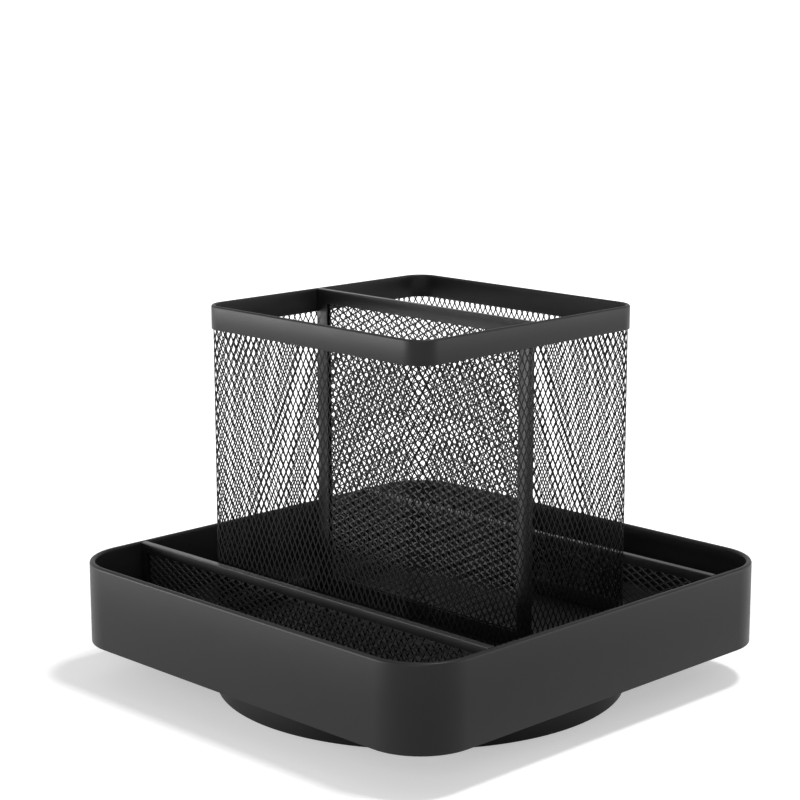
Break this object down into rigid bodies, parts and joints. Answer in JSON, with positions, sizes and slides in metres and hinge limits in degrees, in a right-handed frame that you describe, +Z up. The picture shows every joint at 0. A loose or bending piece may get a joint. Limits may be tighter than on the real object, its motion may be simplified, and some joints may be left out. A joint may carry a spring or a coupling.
{
  "type": "rotating desk organizer",
  "caption": "Square steel tray with mesh dividers and a divided mesh pen cup in its middle, turning on a round ball-bearing base.",
  "frame": {"origin": "on the desk under the turning axis, at the centre of the base", "axes": "+Z up along the turning axis, +X and +Y square to the tray walls, the tray dividers and the cup divider run along X"},
  "size_m": [0.17, 0.17, 0.1297],
  "materials": {
    "tray_coat": "satin black powder coat",
    "band_coat": "satin black powder coat",
    "mesh_coat": "satin black dip coat",
    "base_coat": "satin black powder coat",
    "floor_coat": "satin black powder coat",
    "base_plastic": "matt black moulded plastic",
    "race_steel": "zinc plated pressed steel",
    "ball_steel": "polished steel",
    "cage_plastic": "natural nylon",
    "rivet_steel": "zinc plated steel",
    "foot_rubber": "matt black rubber"
  },
  "bodies": {
    "base": {"base_shell": "base_coat", "base_plate": "base_plastic", "foot_1": "foot_rubber", "foot_2": "foot_rubber", "foot_3": "foot_rubber", "foot_4": "foot_rubber", "lower_race": "race_steel", "lower_rivets": "rivet_steel", "pivot_rivet": "rivet_steel"},
    "ball_cage": {"ball_cage_ring": "cage_plastic", "balls": "ball_steel"},
    "carousel": {"upper_race": "race_steel", "upper_rivets": "rivet_steel", "turntable_plate": "floor_coat", "floor_frame": "floor_coat", "tray_floor": "floor_coat", "tray_wall": "tray_coat", "front_divider_frame": "band_coat", "front_divider_mesh": "mesh_coat", "back_divider_frame": "band_coat", "back_divider_mesh": "mesh_coat", "cup_foot_band": "band_coat", "cup_rim": "band_coat", "cup_mesh_corners": "mesh_coat", "cup_mesh_front": "mesh_coat", "cup_mesh_right": "mesh_coat", "cup_mesh_back": "mesh_coat", "cup_mesh_left": "mesh_coat", "cup_divider_frame": "band_coat", "cup_divider_mesh": "mesh_coat"}
  },
  "joints": [
    {"name": "carousel_spin", "type": "hinge", "parent": "base", "child": "carousel", "pos_m": [0, 0, 0.0173], "axis": [0, 0, 1], "continuous": true},
    {"name": "ball_cage_spin", "type": "hinge", "parent": "base", "child": "ball_cage", "pos_m": [0, 0, 0.0161], "axis": [0, 0, 1], "continuous": true}
  ],
  "couplings": [
    {"joint": "ball_cage_spin", "follows": "carousel_spin", "ratio": 0.5}
  ]
}
